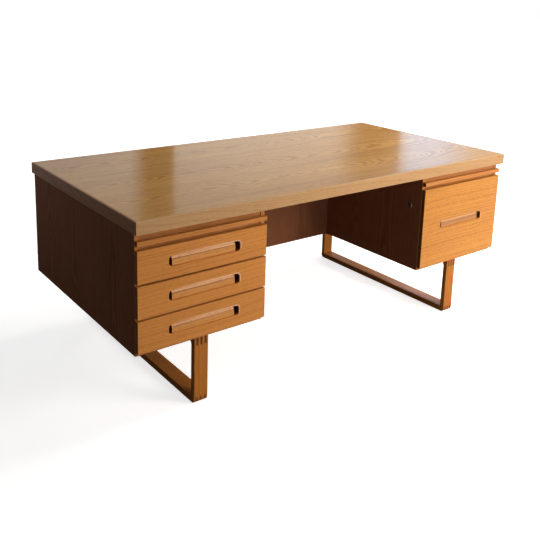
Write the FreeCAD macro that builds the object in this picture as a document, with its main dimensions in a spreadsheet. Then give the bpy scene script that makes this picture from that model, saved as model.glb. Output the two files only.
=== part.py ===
"""Pedestal desk: a veneered top on two pedestals that stand on sled leg frames.

The left pedestal holds three shallow drawers, the right one a single deep drawer, and each has a
pull-out writing slide over its drawers. Behind the drawers and the kneehole panel are open bays.

Frame: millimetres, +Z up, +X to the right of a person who faces the drawers, drawers face -Y.
The origin is on the floor, under the middle of the top.
"""

import FreeCAD, Part
import os
import Sketcher

# Driving dimensions in millimetres
SIZES = {
    # Top
    "top_width": 1878,
    "top_depth": 916,
    "top_thickness": 44,
    "lipping_thickness": 8,
    "top_edge_radius": 2,
    # Pedestals and kneehole, measured in from the edges of the top
    "end_overhang": 8,
    "pedestal_width": 511,
    "rear_overhang": 8,
    "face_setback": 11.5,
    "kneehole_depth": 607,
    "panel_thickness": 16,
    "top_rail_depth": 60,
    "rail_setback": 3,
    "board_arris": 0.6,
    # Heights from the floor up to the top
    "leg_frame_height": 255,
    "bottom_reveal": 14.5,
    "front_height": 112,
    "front_gap": 7,
    "slide_gap": 15,
    "slide_thickness": 16,
    "top_gap": 25.5,
    # Drawer fronts, their hand slots and grip bars
    "front_thickness": 18,
    "front_inner_inset": 1,
    "front_outer_inset": 1,
    "front_arris": 1.2,
    "closing_gap": 0.5,
    "slot_length": 280,
    "slot_height": 36,
    "slot_radius": 12,
    "slot_rim_radius": 2.5,
    "deep_slot_rise": 4,
    "grip_end_gap": 15,
    "grip_top_gap": 6,
    "grip_depth": 12,
    "grip_recess": 8,
    "grip_bevel": 7,
    "grip_quirk_width": 3,
    "grip_quirk_depth": 3,
    "grip_radius": 3,
    # Drawer boxes
    "box_side_gap": 8,
    "box_side_thickness": 12,
    "box_lift": 9,
    "box_drop": 12,
    "box_rear_gap": 30,
    "box_back_thickness": 12,
    "bottom_thickness": 5,
    "bottom_inset": 8,
    "bottom_groove": 5,
    # Drawer runners
    "runner_height": 16,
    "runner_reach": 6,
    "runner_setback": 10,
    "runner_clearance": 0.3,
    # Writing slides and their stop pegs
    "slide_length": 520,
    "slide_travel": 350,
    "slide_side_gap": 2,
    "slide_clearance": 0.3,
    "slide_headroom": 1,
    "stop_diameter": 10,
    "stop_height": 14,
    "stop_seat": 8,
    "stop_fit": 0.05,
    "stop_clearance": 0.4,
    # Leg frames
    "frame_inset": 223,
    "frame_width": 58,
    "frame_front_setback": 9,
    "frame_rear_setback": 31,
    "leg_thickness": 21,
    "foot_thickness": 26,
    "frame_rail_thickness": 20,
    "frame_inner_radius": 15,
    "frame_outer_radius": 16,
    "finger_width": 8.5,
    "frame_edge_radius": 3.5,
    "frame_arris": 1.2,
    # Wood screws
    "screw_diameter": 5,
    "screw_length": 27,
    "screw_head_diameter": 10,
    "screw_head_height": 3,
    "screw_bite": 11,
    "screw_clearance": 0.1,
    # Lock
    "lock_setback": 60,
    "lock_rise": 282,
    "lock_flange_diameter": 22,
    "lock_flange_thickness": 2,
    "lock_flange_bevel": 1.6,
    "lock_barrel_diameter": 16,
    "lock_plug_diameter": 11,
    "lock_tail_diameter": 6,
    "lock_clearance": 0.05,
    "keyway_width": 1.8,
    "keyway_height": 6.5,
    "keyway_depth": 5,
    "cam_length": 20,
    "cam_width": 10,
    "cam_thickness": 2,
    "cam_gap": 0.4,
    # How far a cutting shape runs past the piece that it cuts
    "overrun": 3,
}

# Places along a piece, as shares of its length from its middle
FRAME_SCREW_SHARES = (-0.36, -0.12, 0.12, 0.36)
TOP_RAIL_SCREW_SHARES = (-0.3, 0.3)
SLIDE_STOP_SHARES = (-0.35, 0.35)

DRAWER_STACK = ("bottom", "middle", "top")
FINGERS_PER_JOINT = 3
SIDES = ("left", "right")

AXES = ("x", "y", "z")
ALONG_X = FreeCAD.Rotation(FreeCAD.Vector(0, 1, 0), 90)
SAME_PLACE = 1e-6


class Term:
    """A size or place: the formula that the document keeps, and its value now."""

    def __init__(self, text, value):
        self.text = text
        self.value = value

    def joined(self, sign, other, value):
        """Return the formula of this term and another, with its value."""
        return Term(f"({self.text} {sign} {other.text})", value)

    def __add__(self, other):
        other = term(other)
        return self.joined("+", other, self.value + other.value)

    def __sub__(self, other):
        other = term(other)
        return self.joined("-", other, self.value - other.value)

    def __mul__(self, other):
        other = term(other)
        return self.joined("*", other, self.value * other.value)

    def __truediv__(self, other):
        other = term(other)
        return self.joined("/", other, self.value / other.value)

    def __neg__(self):
        return term(0) - self


def term(number):
    """Return a count, a share or a term as a term."""
    if isinstance(number, Term):
        return number
    return Term(f"({number})", number)


class SizeSheet:
    """The sheet of driving dimensions, whose cells are read as terms."""

    def __init__(self, document, sizes):
        cells = document.addObject("Spreadsheet::Sheet", "Sizes")
        for row, (name, number) in enumerate(sizes.items(), start=1):
            cells.set(f"A{row}", name)
            cells.set(f"B{row}", str(number))
            cells.setAlias(f"B{row}", name)
            setattr(self, name, Term(f"Sizes.{name}", number))


doc = FreeCAD.newDocument("pedestal_desk")
size = SizeSheet(doc, SIZES)
doc.recompute()
pieces = []


def add_piece(label, thing):
    """Name a finished piece and keep it for writing."""
    thing.Label = label
    pieces.append(thing)


def bind(thing, **formulas):
    """Bind properties of an object to formulas on the sheet."""
    for name, formula in formulas.items():
        thing.setExpression(name, formula.text)


def place(thing, corner, rotation=None):
    """Bind where an object stands, after a fixed turn if one is given."""
    if rotation is not None:
        thing.Placement = FreeCAD.Placement(FreeCAD.Vector(), rotation)
    for axis, formula in zip(AXES, corner):
        thing.setExpression(f"Placement.Base.{axis}", term(formula).text)


def fill(box, spans):
    """Bind a box so that it fills three (low, high) spans along X, Y and Z."""
    length, width, height = [high - low for low, high in spans]
    bind(box, Length=length, Width=width, Height=height)
    place(box, [low for low, high in spans])
    return box


def grown(span, margin):
    """Return a span that runs past both its ends by a margin."""
    low, high = span
    return low - margin, high + margin


def middle(span):
    """Return the middle of a span."""
    low, high = span
    return (low + high) / 2


def centred(length, centre=0):
    """Return the span of a length about a centre."""
    return term(centre) - length / 2, term(centre) + length / 2


def on_side(side, low, high):
    """Return a span given on the right side of the desk, mirrored for the left side."""
    if side == "right":
        return low, high
    return -high, -low


def solid_box(name, spans):
    """Return a plain block that fills three spans."""
    return fill(doc.addObject("Part::Box", name), spans)


def upright_rod(name, diameter, x, y, height_span):
    """Return a plain rod along Z."""
    low, high = height_span
    rod = doc.addObject("Part::Cylinder", name)
    bind(rod, Radius=diameter / 2, Height=high - low)
    place(rod, (x, y, low))
    return rod


def group(name, members, kind="Part::Compound"):
    """Return the members together: side by side, or as one solid with Part::MultiFuse."""
    whole = doc.addObject(kind, name)
    if kind == "Part::Compound":
        whole.Links = members
    else:
        whole.Shapes = members
    return whole


def pair(kind, name, base, tool):
    """Return the Part::Cut or Part::Common of two objects."""
    result = doc.addObject(kind, name)
    result.Base = base
    result.Tool = tool
    return result


def new_body(name):
    """Return an empty body."""
    return doc.addObject("PartDesign::Body", name)


def boxed_body(name, spans):
    """Return a body that starts as a plain block."""
    body = new_body(name)
    fill(body.newObject("PartDesign::AdditiveBox", f"{name}_block"), spans)
    return body


def cut_box(body, name, spans):
    """Cut a block out of a body."""
    fill(body.newObject("PartDesign::SubtractiveBox", f"{body.Name}_{name}"), spans)


def rod_along_x(body, kind, name, diameter, span, y, z):
    """Add a rod along X to a body, or bore it out of the body."""
    low, high = span
    rod = body.newObject(f"PartDesign::{kind}Cylinder", f"{body.Name}_{name}")
    bind(rod, Radius=diameter / 2, Height=high - low)
    place(rod, (low, y, z), ALONG_X)


def lies_at(edge, axis, formula):
    """Tell whether a whole edge lies at one place along an axis."""
    box = edge.BoundBox
    low = getattr(box, f"{axis.upper()}Min")
    high = getattr(box, f"{axis.upper()}Max")
    return max(abs(low - formula.value), abs(high - formula.value)) < SAME_PLACE


def ease_edges(body, kind, name, formula, picks):
    """Round (Fillet) or bevel (Chamfer) the edges of a body that picks accepts."""
    doc.recompute()
    base = body.Tip
    numbered = enumerate(base.Shape.Edges, start=1)
    feature = body.newObject(f"PartDesign::{kind}", f"{body.Name}_{name}")
    feature.Base = (base, [f"Edge{number}" for number, edge in numbered if picks(edge)])
    if kind == "Fillet":
        bind(feature, Radius=formula)
    else:
        bind(feature, Size=formula)


def any_edge(edge):
    """Accept every edge."""
    return True


def board(name, spans):
    """Return a sawn board with its arrises taken off."""
    body = boxed_body(name, spans)
    ease_edges(body, "Chamfer", "arris", size.board_arris, any_edge)
    return body


def outline(body, name, role, loops):
    """Return a sketch of closed outlines, each a list of corners, on a plane of the body."""
    plane = next(item for item in body.Origin.OriginFeatures if item.Role == role)
    sketch = body.newObject("Sketcher::SketchObject", f"{body.Name}_{name}")
    sketch.AttachmentSupport = (plane, [""])
    sketch.MapMode = "FlatFace"
    for corners in loops:
        points = [FreeCAD.Vector(term(u).value, term(v).value, 0) for u, v in corners]
        following = points[1:] + points[:1]
        lines = sketch.addGeometry([Part.LineSegment(*ends) for ends in zip(points, following)])
        for line, next_line in zip(lines, lines[1:] + lines[:1]):
            sketch.addConstraint(Sketcher.Constraint("Coincident", line, 2, next_line, 1))
        for line, corner, point in zip(lines, corners, points):
            for direction, formula, number in zip("XY", corner, point):
                rule = Sketcher.Constraint(f"Distance{direction}", -1, 1, line, 1, number)
                index = sketch.addConstraint(rule)
                sketch.setExpression(f"Constraints[{index}]", term(formula).text)
    return sketch


def rectangle(u_span, v_span):
    """Return the corners of a rectangle that fills two spans."""
    (left, right), (low, high) = u_span, v_span
    return [(left, low), (right, low), (right, high), (left, high)]


def turned_along_x(name, corners):
    """Return a body turned about X, from the corners (along X, radius) of half its section."""
    body = new_body(name)
    sketch = outline(body, "section", "XY_Plane", [corners])
    turning = body.newObject("PartDesign::Revolution", f"{name}_turning")
    turning.Profile = sketch
    turning.ReferenceAxis = (sketch, ["H_Axis"])
    return body


# Places that the pieces share, worked out from the driving dimensions
half_width = size.top_width / 2
half_depth = size.top_depth / 2
carcase_bottom = size.leg_frame_height
floor_board_top = carcase_bottom + size.panel_thickness
stack_bottom = carcase_bottom + size.bottom_reveal
front_pitch = size.front_height + size.front_gap
stack_top = stack_bottom + front_pitch * len(DRAWER_STACK) - size.front_gap
slide_bottom = stack_top + size.slide_gap
slide_top = slide_bottom + size.slide_thickness
top_bottom = slide_top + size.top_gap
top_surface = top_bottom + size.top_thickness
divider_top = slide_bottom - size.slide_clearance
top_rail_bottom = slide_top + size.slide_headroom

face = size.face_setback - half_depth
front_back = face + size.front_thickness
carcase_front = front_back + size.closing_gap
carcase_back = half_depth - size.rear_overhang
panel_face = size.kneehole_depth - half_depth
panel_back = panel_face + size.panel_thickness
top_rail_back = carcase_front + size.top_rail_depth

outer_face = half_width - size.end_overhang
inner_face = outer_face - size.pedestal_width
outer_clear = outer_face - size.panel_thickness
inner_clear = inner_face + size.panel_thickness
frame_low = inner_face + size.frame_inset
frame_high = frame_low + size.frame_width
frame_span = (carcase_front + size.frame_front_setback, carcase_back - size.frame_rear_setback)
runner_front = carcase_front + size.runner_setback
lock_y = carcase_front + size.lock_setback
lock_z = carcase_bottom + size.lock_rise


def front_span(side):
    """Return the width that the drawer fronts and slide edge of a pedestal cover."""
    return on_side(side, inner_face + size.front_inner_inset, outer_face - size.front_outer_inset)


def clear_span(side):
    """Return the clear width between the side panels of a pedestal."""
    return on_side(side, inner_clear, outer_clear)


def build_screws():
    """Build the wood screws, and return the shapes that drill for them.

    Each screw goes up through a rail into the board or top above it. The drills are one for each
    leg frame and one for each top rail, by side.
    """
    clear_low, clear_high = grown(frame_span, -size.leg_thickness)
    frame_drills = {}
    rail_drills = {}
    screws = []
    for side in SIDES:
        frame_x = middle(on_side(side, frame_low, frame_high))
        spots = [(frame_x, middle(frame_span) + (clear_high - clear_low) * share)
                 for share in FRAME_SCREW_SHARES]
        frame_drills[side] = drive_screws(f"{side}_frame", spots, carcase_bottom, screws)
        low, high = clear_span(side)
        rail_y = (carcase_front + top_rail_back) / 2
        spots = [(middle((low, high)) + (high - low) * share, rail_y) for share in TOP_RAIL_SCREW_SHARES]
        rail_drills[side] = drive_screws(f"{side}_rail", spots, top_bottom, screws)
    add_piece("wood_screws", group("wood_screws", screws))
    return frame_drills, rail_drills


def drive_screws(name, spots, joint_height, screws):
    """Add a screw at each (x, y) spot across a joint to screws, and return the drill for them all."""
    seat = joint_height + size.screw_bite - size.screw_length
    tip = joint_height + size.screw_bite
    gap = size.screw_clearance
    holes = []
    for number, (x, y) in enumerate(spots, start=1):
        label = f"{name}_screw_{number}"
        shank = upright_rod(f"{label}_shank", size.screw_diameter, x, y, (seat, tip))
        head_span = (seat - size.screw_head_height, seat)
        head = upright_rod(f"{label}_head", size.screw_head_diameter, x, y, head_span)
        screws.append(group(label, [shank, head], "Part::MultiFuse"))
        hole_span = (seat - size.overrun, tip + gap)
        hole = upright_rod(f"{label}_hole", size.screw_diameter + gap * 2, x, y, hole_span)
        bore_span = (seat - size.screw_length, seat)
        bore = upright_rod(f"{label}_bore", size.screw_head_diameter + gap * 2, x, y, bore_span)
        holes.append(group(f"{label}_drill", [hole, bore], "Part::MultiFuse"))
    return group(f"{name}_drill", holes)


def build_top(rail_drills):
    """Build the veneered top and the solid lippings round it."""
    lipping = size.lipping_thickness
    height = (top_bottom, top_surface)
    core_x = centred(size.top_width - lipping * 2)
    core_y = centred(size.top_depth - lipping * 2)
    core = boxed_body("top_core", [core_x, core_y, height])
    drills = group("top_drill", list(rail_drills.values()))
    add_piece("top_panel", pair("Part::Cut", "top_panel", core, drills))

    full_x = centred(size.top_width)
    full_y = centred(size.top_depth)
    front = boxed_body("front_lipping", [full_x, (full_y[0], core_y[0]), height])
    back = boxed_body("back_lipping", [full_x, (core_y[1], full_y[1]), height])
    left = boxed_body("left_lipping", [(full_x[0], core_x[0]), core_y, height])
    right = boxed_body("right_lipping", [(core_x[1], full_x[1]), core_y, height])

    def faces_out(edge):
        return not any(lies_at(edge, "y", glued) for glued in core_y)

    def runs_outside(edge):
        return faces_out(edge) and any(lies_at(edge, "x", outside) for outside in full_x)

    for strip in (front, back):
        ease_edges(strip, "Fillet", "edge", size.top_edge_radius, faces_out)
    for strip in (left, right):
        ease_edges(strip, "Fillet", "edge", size.top_edge_radius, runs_outside)
    add_piece("top_long_lippings", group("top_long_lippings", [front, back]))
    add_piece("top_end_lippings", group("top_end_lippings", [left, right]))


def build_carcase(side, frame_drill, rail_drill):
    """Build the fixed boards of one pedestal."""
    depth = (carcase_front, carcase_back)
    height = (carcase_bottom, top_bottom)
    clear = clear_span(side)
    add_piece(f"{side}_outer_side",
              board(f"{side}_outer_side", [on_side(side, outer_clear, outer_face), depth, height]))
    inner_side = board(f"{side}_inner_side", [on_side(side, inner_face, inner_clear), depth, height])
    add_piece(f"{side}_inner_side", inner_side)

    floor = board(f"{side}_floor_blank", [clear, depth, (carcase_bottom, floor_board_top)])
    add_piece(f"{side}_bottom", pair("Part::Cut", f"{side}_bottom", floor, frame_drill))
    rail_front = carcase_front + size.rail_setback
    divider_height = (divider_top - size.panel_thickness, divider_top)
    add_piece(f"{side}_divider",
              board(f"{side}_divider", [clear, (rail_front, panel_face), divider_height]))
    rail = board(f"{side}_rail_blank", [clear, (rail_front, top_rail_back), (top_rail_bottom, top_bottom)])
    add_piece(f"{side}_top_rail", pair("Part::Cut", f"{side}_top_rail", rail, rail_drill))
    add_piece(f"{side}_bay_back",
              board(f"{side}_bay_back", [clear, (panel_face, panel_back), (floor_board_top, top_bottom)]))
    return inner_side


def build_centre():
    """Build the kneehole panel and the floor board of the bay behind it."""
    between = (-inner_face, inner_face)
    panel = board("kneehole_panel", [between, (panel_face, panel_back), (carcase_bottom, top_bottom)])
    add_piece("kneehole_panel", panel)
    floor = board("centre_bottom", [between, (panel_back, carcase_back), (carcase_bottom, floor_board_top)])
    add_piece("centre_bottom", floor)


def build_slide(side):
    """Build one pull-out writing slide with the pegs that stop it at the top rail."""
    height = (slide_bottom, slide_top)
    clear = clear_span(side)
    width = grown(clear, -size.slide_side_gap)
    sheet = board(f"{side}_slide_blank", [width, (front_back, front_back + size.slide_length), height])
    edge = boxed_body(f"{side}_slide_edge", [front_span(side), (face, front_back), height])
    ease_edges(edge, "Fillet", "arris", size.front_arris, lambda line: lies_at(line, "y", face))
    add_piece(f"{side}_slide_edge", edge)

    stop_y = top_rail_back + size.slide_travel + size.stop_clearance + size.stop_diameter / 2
    pegs = []
    seats = []
    for number, share in enumerate(SLIDE_STOP_SHARES, start=1):
        name = f"{side}_stop_{number}"
        x = middle(clear) + (width[1] - width[0]) * share
        foot = slide_top - size.stop_seat
        pegs.append(upright_rod(name, size.stop_diameter, x, stop_y, (foot, slide_top + size.stop_height)))
        seat_span = (foot, slide_top + size.overrun)
        seat_diameter = size.stop_diameter + size.stop_fit * 2
        seats.append(upright_rod(f"{name}_seat", seat_diameter, x, stop_y, seat_span))
    drill = group(f"{side}_stop_drill", seats)
    add_piece(f"{side}_slide_panel", pair("Part::Cut", f"{side}_slide_panel", sheet, drill))
    add_piece(f"{side}_slide_stops", group(f"{side}_slide_stops", pegs))


def build_drawer(side, name, front_height, slot_middle, runners):
    """Build one drawer, and add its two runners to runners.

    Its front fills a height span and has its hand slot about the height slot_middle.
    """
    low, high = front_height
    width = front_span(side)
    slot_x = centred(size.slot_length, middle(width))
    slot_z = centred(size.slot_height, slot_middle)
    clear = clear_span(side)
    box_x = grown(clear, -size.box_side_gap)
    box_y = (front_back, panel_face - size.box_rear_gap)
    box_z = (low + size.box_lift, high - size.box_drop)
    inside_x = grown(box_x, -size.box_side_thickness)
    floor_x = grown(inside_x, size.bottom_groove)
    floor_y = (front_back - size.bottom_groove, box_y[1])
    floor_z = (box_z[0] + size.bottom_inset, box_z[0] + size.bottom_inset + size.bottom_thickness)
    runner_z = centred(size.runner_height, middle(box_z))
    runner_width = size.box_side_gap + size.runner_reach

    front = boxed_body(f"{name}_front", [width, (face, front_back), front_height])
    cut_box(front, "slot", [slot_x, grown((face, front_back), size.overrun), slot_z])

    def in_slot_corner(edge):
        return any(lies_at(edge, "x", x) and lies_at(edge, "z", z) for x in slot_x for z in slot_z)

    ease_edges(front, "Fillet", "slot_corner", size.slot_radius, in_slot_corner)
    cut_box(front, "groove", [floor_x, (floor_y[0], front_back + size.overrun), floor_z])

    def on_face_outline(edge):
        at_end = any(lies_at(edge, "x", x) for x in width)
        return lies_at(edge, "y", face) and (at_end or any(lies_at(edge, "z", z) for z in front_height))

    def on_slot_rim(edge):
        return lies_at(edge, "y", face) and not on_face_outline(edge)

    ease_edges(front, "Fillet", "slot_rim", size.slot_rim_radius, on_slot_rim)
    ease_edges(front, "Fillet", "arris", size.front_arris, on_face_outline)
    add_piece(f"{name}_front", front)

    grip_y = (face + size.grip_recess, face + size.grip_recess + size.grip_depth)
    grip_z = (slot_z[0], slot_z[1] - size.grip_top_gap)
    grip = boxed_body(f"{name}_grip", [grown(slot_x, -size.grip_end_gap), grip_y, grip_z])

    def on_front_top(edge):
        return lies_at(edge, "y", grip_y[0]) and lies_at(edge, "z", grip_z[1])

    def on_back_top(edge):
        return lies_at(edge, "y", grip_y[1]) and lies_at(edge, "z", grip_z[1])

    ease_edges(grip, "Chamfer", "bevel", size.grip_bevel, on_front_top)
    ease_edges(grip, "Fillet", "back", size.grip_radius, on_back_top)
    quirk_top = grip_z[1] - size.grip_bevel
    quirk_y = (grip_y[0] - size.overrun, grip_y[0] + size.grip_quirk_depth)
    cut_box(grip, "quirk", [slot_x, quirk_y, (quirk_top - size.grip_quirk_width, quirk_top)])
    add_piece(f"{name}_grip", grip)

    groove_y = (runner_front - size.runner_clearance, box_y[1] + size.overrun)
    groove_z = grown(runner_z, size.runner_clearance)
    groove_reach = size.runner_reach + size.runner_clearance
    left = boxed_body(f"{name}_left_side", [(box_x[0], inside_x[0]), box_y, box_z])
    cut_box(left, "runner_groove", [(box_x[0] - size.overrun, box_x[0] + groove_reach), groove_y, groove_z])
    right = boxed_body(f"{name}_right_side", [(inside_x[1], box_x[1]), box_y, box_z])
    cut_box(right, "runner_groove", [(box_x[1] - groove_reach, box_x[1] + size.overrun), groove_y, groove_z])
    floor_slot = [floor_x, grown(box_y, size.overrun), floor_z]
    for wall, label in ((left, "left_side"), (right, "right_side")):
        cut_box(wall, "floor_groove", floor_slot)
        add_piece(f"{name}_{label}", wall)

    back_y = (box_y[1] - size.box_back_thickness, box_y[1])
    add_piece(f"{name}_back", boxed_body(f"{name}_back", [inside_x, back_y, (floor_z[1], box_z[1])]))
    add_piece(f"{name}_bottom", boxed_body(f"{name}_bottom", [floor_x, floor_y, floor_z]))

    runner_y = (runner_front, panel_face)
    for label, span in (("left", (clear[0], clear[0] + runner_width)),
                        ("right", (clear[1] - runner_width, clear[1]))):
        runners.append(solid_box(f"{name}_{label}_runner", [span, runner_y, runner_z]))


def build_drawers():
    """Build the stack of shallow drawers, the deep drawer and the runners that carry them."""
    runners = []
    for index, level in enumerate(DRAWER_STACK):
        low = stack_bottom + front_pitch * index
        height = (low, low + size.front_height)
        build_drawer("left", f"left_{level}_drawer", height, middle(height), runners)
    height = (stack_bottom, stack_top)
    build_drawer("right", "right_drawer", height, middle(height) + size.deep_slot_rise, runners)
    add_piece("drawer_runners", group("drawer_runners", runners))


def build_leg_frame(side, drill):
    """Build one sled frame: two legs, a foot and a rail, finger-jointed at the corners."""
    name = f"{side}_frame"
    width = on_side(side, frame_low, frame_high)
    length = frame_span
    inside = grown(length, -size.leg_thickness)
    rail_bottom = size.leg_frame_height - size.frame_rail_thickness
    inside_height = (size.foot_thickness, rail_bottom)
    whole = new_body(f"{name}_ring")
    sketch = outline(whole, "outline", "YZ_Plane", [
        rectangle(length, (0, size.leg_frame_height)),
        rectangle(inside, inside_height),
    ])
    pad = whole.newObject("PartDesign::Pad", f"{name}_pad")
    pad.Profile = sketch
    pad.Midplane = True
    bind(pad, Length=size.frame_width)

    def at_foot_corner(edge):
        return lies_at(edge, "z", term(0)) and any(lies_at(edge, "y", y) for y in length)

    def at_rail_corner(edge):
        return lies_at(edge, "z", rail_bottom) and any(lies_at(edge, "y", y) for y in inside)

    def on_side_face(edge):
        return any(lies_at(edge, "x", x) for x in centred(size.frame_width))

    def on_inner_edge(edge):
        on_leg = any(lies_at(edge, "y", y) for y in inside)
        return on_side_face(edge) and (on_leg or any(lies_at(edge, "z", z) for z in inside_height))

    def on_floor_edge(edge):
        return on_side_face(edge) and lies_at(edge, "z", term(0))

    ease_edges(whole, "Fillet", "foot_corner", size.frame_outer_radius, at_foot_corner)
    ease_edges(whole, "Fillet", "rail_corner", size.frame_inner_radius, at_rail_corner)
    ease_edges(whole, "Chamfer", "arris", size.frame_arris, on_inner_edge)
    # The round runs on from the floor edges, past the foot corners and up the legs
    ease_edges(whole, "Fillet", "edge", size.frame_edge_radius, on_floor_edge)
    place(whole, (middle(width), 0, 0))

    rail_height = (rail_bottom - size.frame_inner_radius, size.leg_frame_height)
    foot_height = (term(0), size.foot_thickness)
    rail_zone = fingered_zone(f"{name}_rail_zone", width, inside, length, rail_height)
    foot_zone = fingered_zone(f"{name}_foot_zone", width, inside, length, foot_height)
    rail = pair("Part::Common", f"{name}_rail_blank", whole, rail_zone)
    add_piece(f"{name}_rail", pair("Part::Cut", f"{name}_rail", rail, drill))
    add_piece(f"{name}_foot", pair("Part::Common", f"{name}_foot", whole, foot_zone))

    taken = group(f"{name}_taken", [rail_zone, foot_zone])
    full_height = grown((term(0), size.leg_frame_height), size.overrun)
    for label, span in (("front_leg", (length[0], inside[0])), ("back_leg", (inside[1], length[1]))):
        zone = solid_box(f"{name}_{label}_zone", [grown(width, size.overrun), span, full_height])
        blank = pair("Part::Common", f"{name}_{label}_blank", whole, zone)
        add_piece(f"{name}_{label}", pair("Part::Cut", f"{name}_{label}", blank, taken))


def fingered_zone(name, width, inside, length, height):
    """Return the space of a rail or foot between the legs, with its fingers through both legs."""
    span = width[1] - width[0]
    leg_finger = (span - size.finger_width * FINGERS_PER_JOINT) / (FINGERS_PER_JOINT + 1)
    parts = [solid_box(f"{name}_middle", [grown(width, size.overrun), inside, height])]
    for index in range(FINGERS_PER_JOINT):
        low = width[0] + leg_finger * (index + 1) + size.finger_width * index
        finger = [(low, low + size.finger_width), length, height]
        parts.append(solid_box(f"{name}_finger_{index + 1}", finger))
    return group(name, parts, "Part::MultiFuse")


def build_lock(panel):
    """Build the lock and bore its hole through the kneehole side of the right pedestal."""
    gap = size.lock_clearance
    hole_span = grown((inner_face, inner_clear), size.overrun)
    hole_diameter = size.lock_barrel_diameter + gap * 2
    rod_along_x(panel, "Subtractive", "lock_hole", hole_diameter, hole_span, lock_y, lock_z)

    centre = (inner_face, lock_y, lock_z)
    flange = -size.lock_flange_thickness
    rim = size.lock_flange_diameter / 2
    cam_face = size.panel_thickness + size.cam_gap
    cam_back = cam_face + size.cam_thickness
    bore = size.lock_plug_diameter / 2 + gap
    case = turned_along_x("lock_case", [
        (flange, bore),
        (flange, rim - size.lock_flange_bevel),
        (flange + size.lock_flange_bevel, rim),
        (0, rim),
        (0, size.lock_barrel_diameter / 2),
        (size.panel_thickness, size.lock_barrel_diameter / 2),
        (size.panel_thickness, bore),
    ])
    plug = turned_along_x("lock_plug", [
        (flange, 0),
        (flange, size.lock_plug_diameter / 2),
        (cam_face, size.lock_plug_diameter / 2),
        (cam_face, size.lock_tail_diameter / 2),
        (cam_back, size.lock_tail_diameter / 2),
        (cam_back, 0),
    ])
    keyway_x = (flange - size.overrun, flange + size.keyway_depth)
    cut_box(plug, "keyway", [keyway_x, centred(size.keyway_width), centred(size.keyway_height)])

    cam = boxed_body("lock_cam", [(cam_face, cam_back), centred(size.cam_width), (term(0), size.cam_length)])
    rod_along_x(cam, "Additive", "eye", size.cam_width, (cam_face, cam_back), 0, 0)
    eye_span = grown((cam_face, cam_back), size.overrun)
    rod_along_x(cam, "Subtractive", "eye_hole", size.lock_tail_diameter + gap * 2, eye_span, 0, 0)
    for label, body in (("lock_case", case), ("lock_plug", plug), ("lock_cam", cam)):
        place(body, centre)
        add_piece(label, body)


def check_document():
    """Stop if anything in the document failed or a piece has no sound shape."""
    for thing in doc.Objects:
        if "Invalid" in thing.State or "Error" in thing.State:
            raise RuntimeError(f"{thing.Label} failed: {thing.State}")
    for piece in pieces:
        if piece.Shape.isNull() or not piece.Shape.isValid() or not piece.Shape.Solids:
            raise RuntimeError(f"{piece.Label} has no sound shape")


def write_pieces():
    """Write each piece to a file of its own name."""
    os.makedirs("parts", exist_ok=True)
    for piece in pieces:
        piece.Shape.exportStep(f"parts/{piece.Label}.step")
        print(f"{piece.Label}: {len(piece.Shape.Solids)} solids, {piece.Shape.Volume:.0f} mm3")


frame_drills, rail_drills = build_screws()
build_top(rail_drills)
inner_sides = {side: build_carcase(side, frame_drills[side], rail_drills[side]) for side in SIDES}
build_centre()
build_drawers()
for side in SIDES:
    build_slide(side)
    build_leg_frame(side, frame_drills[side])
build_lock(inner_sides["right"])
doc.recompute()
check_document()
write_pieces()
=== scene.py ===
"""Looks of the pedestal desk: oak finishes, lock, screws, studio light and camera, in metres."""

import itertools
import logging
import math
from dataclasses import dataclass, replace
from enum import Enum
from functools import partial
from typing import Iterator, Union

import bpy
from mathutils import Euler, Matrix, Vector


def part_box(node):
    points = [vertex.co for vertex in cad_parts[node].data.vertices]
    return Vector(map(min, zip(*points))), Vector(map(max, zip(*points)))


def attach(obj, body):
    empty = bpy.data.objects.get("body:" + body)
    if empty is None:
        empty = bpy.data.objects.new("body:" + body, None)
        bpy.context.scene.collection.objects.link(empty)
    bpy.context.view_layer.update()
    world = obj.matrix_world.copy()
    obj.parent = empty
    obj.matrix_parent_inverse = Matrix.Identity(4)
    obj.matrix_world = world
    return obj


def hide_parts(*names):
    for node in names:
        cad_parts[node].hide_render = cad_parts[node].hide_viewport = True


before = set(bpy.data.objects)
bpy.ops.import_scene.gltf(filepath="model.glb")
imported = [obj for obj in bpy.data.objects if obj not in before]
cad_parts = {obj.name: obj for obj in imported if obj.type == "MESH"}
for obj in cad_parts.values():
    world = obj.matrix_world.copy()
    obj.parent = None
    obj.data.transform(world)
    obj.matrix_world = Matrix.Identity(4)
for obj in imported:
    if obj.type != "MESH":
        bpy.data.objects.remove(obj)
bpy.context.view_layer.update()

LOG = logging.getLogger("pedestal_desk")
MM = 0.001
MM_PER_METRE = 1000.0
WHITE = "#FFFFFF"
BLACK = "#000000"
# Middle of a noise's range, of a leaf of veneer and of the picture's frame
MIDDLE = 0.5
# Blender's names of the nodes that are used most
MATH = "ShaderNodeMath"
VECTOR_MATH = "ShaderNodeVectorMath"
SPLIT = "ShaderNodeSeparateXYZ"
JOIN = "ShaderNodeCombineXYZ"
NOISE = "ShaderNodeTexNoise"
RANGE = "ShaderNodeMapRange"
MIX = "ShaderNodeMix"
# Sockets of a Mix node that take and give colours
FIRST, SECOND, MIXED = 6, 7, 2
# Settings of a Mix node for colours, and of a Map Range node for a soft start and end
COLOURS = {"data_type": "RGBA"}
SMOOTH = {"interpolation_type": "SMOOTHSTEP"}
# Fields of a wood finish that the wood figure takes under the same names
WOOD_COLOURS = ("light", "dark", "pore", "end", "worn")
WOOD_VALUES = ("ring_mm", "leaf_mm", "heart_mm", "aside_mm", "drift_mm", "wobble_mm", "figure", "fibre",
               "tone", "pore_length_mm", "pore_width_mm", "pore_strength", "wear", "wear_mm", "satin")
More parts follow.
